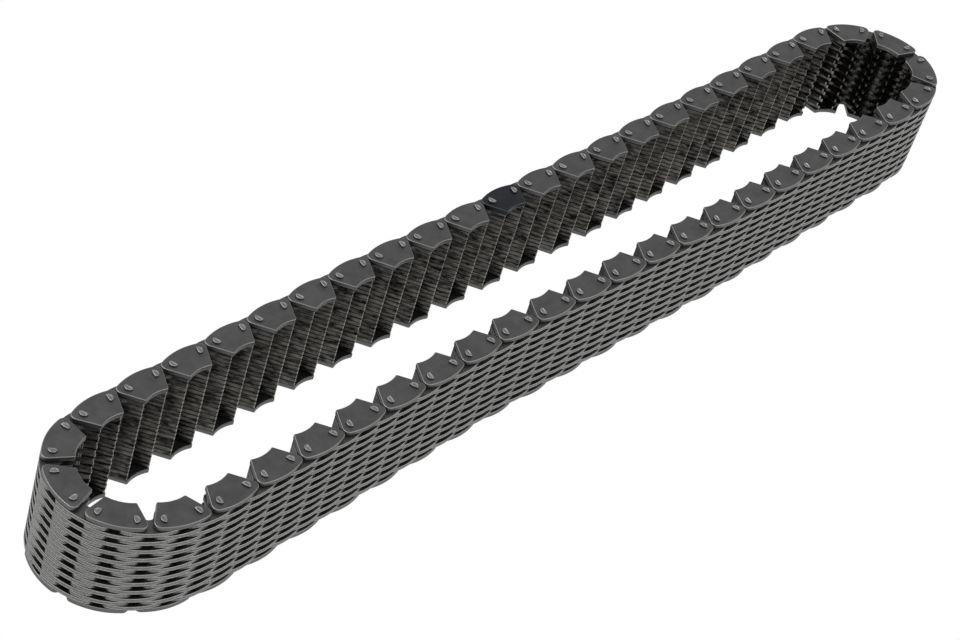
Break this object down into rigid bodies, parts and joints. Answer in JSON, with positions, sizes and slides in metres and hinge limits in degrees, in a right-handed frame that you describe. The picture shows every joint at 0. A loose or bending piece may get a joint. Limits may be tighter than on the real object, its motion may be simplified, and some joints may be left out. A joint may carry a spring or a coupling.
{
  "type": "silent chain",
  "caption": "Endless inverted tooth chain: stacks of two-toed steel plates on rocker pins, with smooth guide plates along both edges, laid as a long oval loop.",
  "frame": {"origin": "middle of the closed loop, level with the lower faces of the pin heads it rests on", "axes": "+X along the two long strands, +Z along the rocker pins, from the lower pin heads up to the upper ones"},
  "size_m": [0.4504, 0.0614, 0.0382],
  "materials": {
    "link_plates": "dark satin, oiled, with paler worn edges",
    "guide_plates": "dark satin, oiled",
    "marked_plate": "bluish black, satin",
    "rocker_pins": "ground steel with peened, slightly polished heads"
  },
  "bodies": {
    "rear_strand_1": {"rear_strand_1_link_plates": "link_plates", "rear_strand_1_rocker_pins": "rocker_pins", "rear_strand_1_guide_plates": "guide_plates"},
    "rear_strand_2": {"rear_strand_2_link_plates": "link_plates", "rear_strand_2_rocker_pins": "rocker_pins", "rear_strand_2_guide_plates": "guide_plates", "marked_guide_plate": "marked_plate"},
    "rear_strand_3": {"rear_strand_3_link_plates": "link_plates", "rear_strand_3_rocker_pins": "rocker_pins", "rear_strand_3_guide_plates": "guide_plates"},
    "left_bend_link_1": {"left_bend_link_1_link_plates": "link_plates", "left_bend_link_1_rocker_pins": "rocker_pins", "left_bend_link_1_guide_plates": "guide_plates"},
    "left_bend_link_2": {"left_bend_link_2_link_plates": "link_plates", "left_bend_link_2_rocker_pins": "rocker_pins"},
    "left_bend_link_3": {"left_bend_link_3_link_plates": "link_plates", "left_bend_link_3_rocker_pins": "rocker_pins", "left_bend_link_3_guide_plates": "guide_plates"},
    "left_bend_link_4": {"left_bend_link_4_link_plates": "link_plates", "left_bend_link_4_rocker_pins": "rocker_pins"},
    "left_bend_link_5": {"left_bend_link_5_link_plates": "link_plates", "left_bend_link_5_rocker_pins": "rocker_pins", "left_bend_link_5_guide_plates": "guide_plates"},
    "left_bend_link_6": {"left_bend_link_6_link_plates": "link_plates", "left_bend_link_6_rocker_pins": "rocker_pins"},
    "left_bend_link_7": {"left_bend_link_7_link_plates": "link_plates", "left_bend_link_7_rocker_pins": "rocker_pins", "left_bend_link_7_guide_plates": "guide_plates"},
    "left_bend_link_8": {"left_bend_link_8_link_plates": "link_plates", "left_bend_link_8_rocker_pins": "rocker_pins"},
    "front_strand_1": {"front_strand_1_link_plates": "link_plates", "front_strand_1_rocker_pins": "rocker_pins", "front_strand_1_guide_plates": "guide_plates"},
    "front_strand_2": {"front_strand_2_link_plates": "link_plates", "front_strand_2_rocker_pins": "rocker_pins", "front_strand_2_guide_plates": "guide_plates"},
    "front_strand_3": {"front_strand_3_link_plates": "link_plates", "front_strand_3_rocker_pins": "rocker_pins", "front_strand_3_guide_plates": "guide_plates"},
    "right_bend_link_1": {"right_bend_link_1_link_plates": "link_plates", "right_bend_link_1_rocker_pins": "rocker_pins"},
    "right_bend_link_2": {"right_bend_link_2_link_plates": "link_plates", "right_bend_link_2_rocker_pins": "rocker_pins", "right_bend_link_2_guide_plates": "guide_plates"},
    "right_bend_link_3": {"right_bend_link_3_link_plates": "link_plates", "right_bend_link_3_rocker_pins": "rocker_pins"},
    "right_bend_link_4": {"right_bend_link_4_link_plates": "link_plates", "right_bend_link_4_rocker_pins": "rocker_pins", "right_bend_link_4_guide_plates": "guide_plates"},
    "right_bend_link_5": {"right_bend_link_5_link_plates": "link_plates", "right_bend_link_5_rocker_pins": "rocker_pins"},
    "right_bend_link_6": {"right_bend_link_6_link_plates": "link_plates", "right_bend_link_6_rocker_pins": "rocker_pins", "right_bend_link_6_guide_plates": "guide_plates"},
    "right_bend_link_7": {"right_bend_link_7_link_plates": "link_plates", "right_bend_link_7_rocker_pins": "rocker_pins"},
    "right_bend_link_8": {"right_bend_link_8_link_plates": "link_plates", "right_bend_link_8_rocker_pins": "rocker_pins", "right_bend_link_8_guide_plates": "guide_plates"}
  },
  "joints": [
    {"name": "rear_strand_3_fold", "type": "hinge", "parent": "rear_strand_2", "child": "rear_strand_3", "pos_m": [-0.07136, 0.02581, 0.01912], "axis": [0, 0, 1], "range_deg": [-10.05, 6.05]},
    {"name": "left_bend_link_1_fold", "type": "hinge", "parent": "rear_strand_3", "child": "left_bend_link_1", "pos_m": [-0.20458, 0.02259, 0.01912], "axis": [0, 0, 1], "range_deg": [-10.05, 3.05]},
    {"name": "left_bend_link_2_fold", "type": "hinge", "parent": "left_bend_link_1", "child": "left_bend_link_2", "pos_m": [-0.21294, 0.01804, 0.01912], "axis": [0, 0, 1], "range_deg": [-10.05, 3.05]},
    {"name": "left_bend_link_3_fold", "type": "hinge", "parent": "left_bend_link_2", "child": "left_bend_link_3", "pos_m": [-0.21873, 0.01047, 0.01912], "axis": [0, 0, 1], "range_deg": [-10.05, 3.05]},
    {"name": "left_bend_link_4_fold", "type": "hinge", "parent": "left_bend_link_3", "child": "left_bend_link_4", "pos_m": [-0.22077, 0.00117, 0.01912], "axis": [0, 0, 1], "range_deg": [-10.05, 3.05]},
    {"name": "left_bend_link_5_fold", "type": "hinge", "parent": "left_bend_link_4", "child": "left_bend_link_5", "pos_m": [-0.21837, -0.00805, 0.01912], "axis": [0, 0, 1], "range_deg": [-10.05, 3.05]},
    {"name": "left_bend_link_6_fold", "type": "hinge", "parent": "left_bend_link_5", "child": "left_bend_link_6", "pos_m": [-0.21243, -0.0155, 0.01912], "axis": [0, 0, 1], "range_deg": [-3.05, 10.05]},
    {"name": "left_bend_link_7_fold", "type": "hinge", "parent": "left_bend_link_6", "child": "left_bend_link_7", "pos_m": [-0.20439, -0.0206, 0.01912], "axis": [0, 0, 1], "range_deg": [-3.05, 10.05]},
    {"name": "left_bend_link_8_fold", "type": "hinge", "parent": "left_bend_link_7", "child": "left_bend_link_8", "pos_m": [-0.19525, -0.02329, 0.01912], "axis": [0, 0, 1], "range_deg": [-3.05, 10.05]},
    {"name": "front_strand_1_fold", "type": "hinge", "parent": "left_bend_link_8", "child": "front_strand_1", "pos_m": [-0.18577, -0.02419, 0.01912], "axis": [0, 0, 1], "range_deg": [-6, 20]},
    {"name": "rear_strand_1_fold", "type": "hinge", "parent": "rear_strand_2", "child": "rear_strand_1", "pos_m": [0.05243, 0.02279, 0.01912], "axis": [0, 0, -1], "range_deg": [-6, 10]},
    {"name": "right_bend_link_8_fold", "type": "hinge", "parent": "rear_strand_1", "child": "right_bend_link_8", "pos_m": [0.18577, 0.02419, 0.01912], "axis": [0, 0, -1], "range_deg": [-6.05, 20.05]},
    {"name": "right_bend_link_7_fold", "type": "hinge", "parent": "right_bend_link_8", "child": "right_bend_link_7", "pos_m": [0.19525, 0.02329, 0.01912], "axis": [0, 0, -1], "range_deg": [-3.05, 10.05]},
    {"name": "right_bend_link_6_fold", "type": "hinge", "parent": "right_bend_link_7", "child": "right_bend_link_6", "pos_m": [0.20439, 0.0206, 0.01912], "axis": [0, 0, -1], "range_deg": [-3.05, 10.05]},
    {"name": "right_bend_link_5_fold", "type": "hinge", "parent": "right_bend_link_6", "child": "right_bend_link_5", "pos_m": [0.21243, 0.0155, 0.01912], "axis": [0, 0, -1], "range_deg": [-3.05, 10.05]},
    {"name": "right_bend_link_4_fold", "type": "hinge", "parent": "right_bend_link_5", "child": "right_bend_link_4", "pos_m": [0.21837, 0.00805, 0.01912], "axis": [0, 0, -1], "range_deg": [-10.05, 3.05]},
    {"name": "right_bend_link_3_fold", "type": "hinge", "parent": "right_bend_link_4", "child": "right_bend_link_3", "pos_m": [0.22077, -0.00117, 0.01912], "axis": [0, 0, -1], "range_deg": [-10.05, 3.05]},
    {"name": "right_bend_link_2_fold", "type": "hinge", "parent": "right_bend_link_3", "child": "right_bend_link_2", "pos_m": [0.21873, -0.01047, 0.01912], "axis": [0, 0, -1], "range_deg": [-10.05, 3.05]},
    {"name": "right_bend_link_1_fold", "type": "hinge", "parent": "right_bend_link_2", "child": "right_bend_link_1", "pos_m": [0.21294, -0.01804, 0.01912], "axis": [0, 0, -1], "range_deg": [-10.05, 3.05]},
    {"name": "front_strand_3_fold", "type": "hinge", "parent": "right_bend_link_1", "child": "front_strand_3", "pos_m": [0.20458, -0.02259, 0.01912], "axis": [0, 0, -1], "range_deg": [-10.05, 3.05]},
    {"name": "front_strand_2_fold", "type": "hinge", "parent": "front_strand_3", "child": "front_strand_2", "pos_m": [0.07136, -0.02581, 0.01912], "axis": [0, 0, -1], "range_deg": [-10.05, 6.05]}
  ],
  "couplings": [
    {"joint": "rear_strand_3_fold", "follows": "rear_strand_1_fold", "ratio": -1},
    {"joint": "left_bend_link_1_fold", "follows": "front_strand_1_fold", "ratio": -0.5},
    {"joint": "left_bend_link_2_fold", "follows": "front_strand_1_fold", "ratio": -0.5},
    {"joint": "left_bend_link_3_fold", "follows": "front_strand_1_fold", "ratio": -0.5},
    {"joint": "left_bend_link_4_fold", "follows": "front_strand_1_fold", "ratio": -0.5},
    {"joint": "left_bend_link_5_fold", "follows": "front_strand_1_fold", "ratio": -0.5},
    {"joint": "left_bend_link_6_fold", "follows": "front_strand_1_fold", "ratio": 0.5},
    {"joint": "left_bend_link_7_fold", "follows": "front_strand_1_fold", "ratio": 0.5},
    {"joint": "left_bend_link_8_fold", "follows": "front_strand_1_fold", "ratio": 0.5},
    {"joint": "right_bend_link_8_fold", "follows": "front_strand_1_fold", "ratio": 1},
    {"joint": "right_bend_link_7_fold", "follows": "front_strand_1_fold", "ratio": 0.5},
    {"joint": "right_bend_link_6_fold", "follows": "front_strand_1_fold", "ratio": 0.5},
    {"joint": "right_bend_link_5_fold", "follows": "front_strand_1_fold", "ratio": 0.5},
    {"joint": "right_bend_link_4_fold", "follows": "front_strand_1_fold", "ratio": -0.5},
    {"joint": "right_bend_link_3_fold", "follows": "front_strand_1_fold", "ratio": -0.5},
    {"joint": "right_bend_link_2_fold", "follows": "front_strand_1_fold", "ratio": -0.5},
    {"joint": "right_bend_link_1_fold", "follows": "front_strand_1_fold", "ratio": -0.5},
    {"joint": "front_strand_3_fold", "follows": "front_strand_1_fold", "ratio": -0.5},
    {"joint": "front_strand_2_fold", "follows": "rear_strand_1_fold", "ratio": -1}
  ]
}
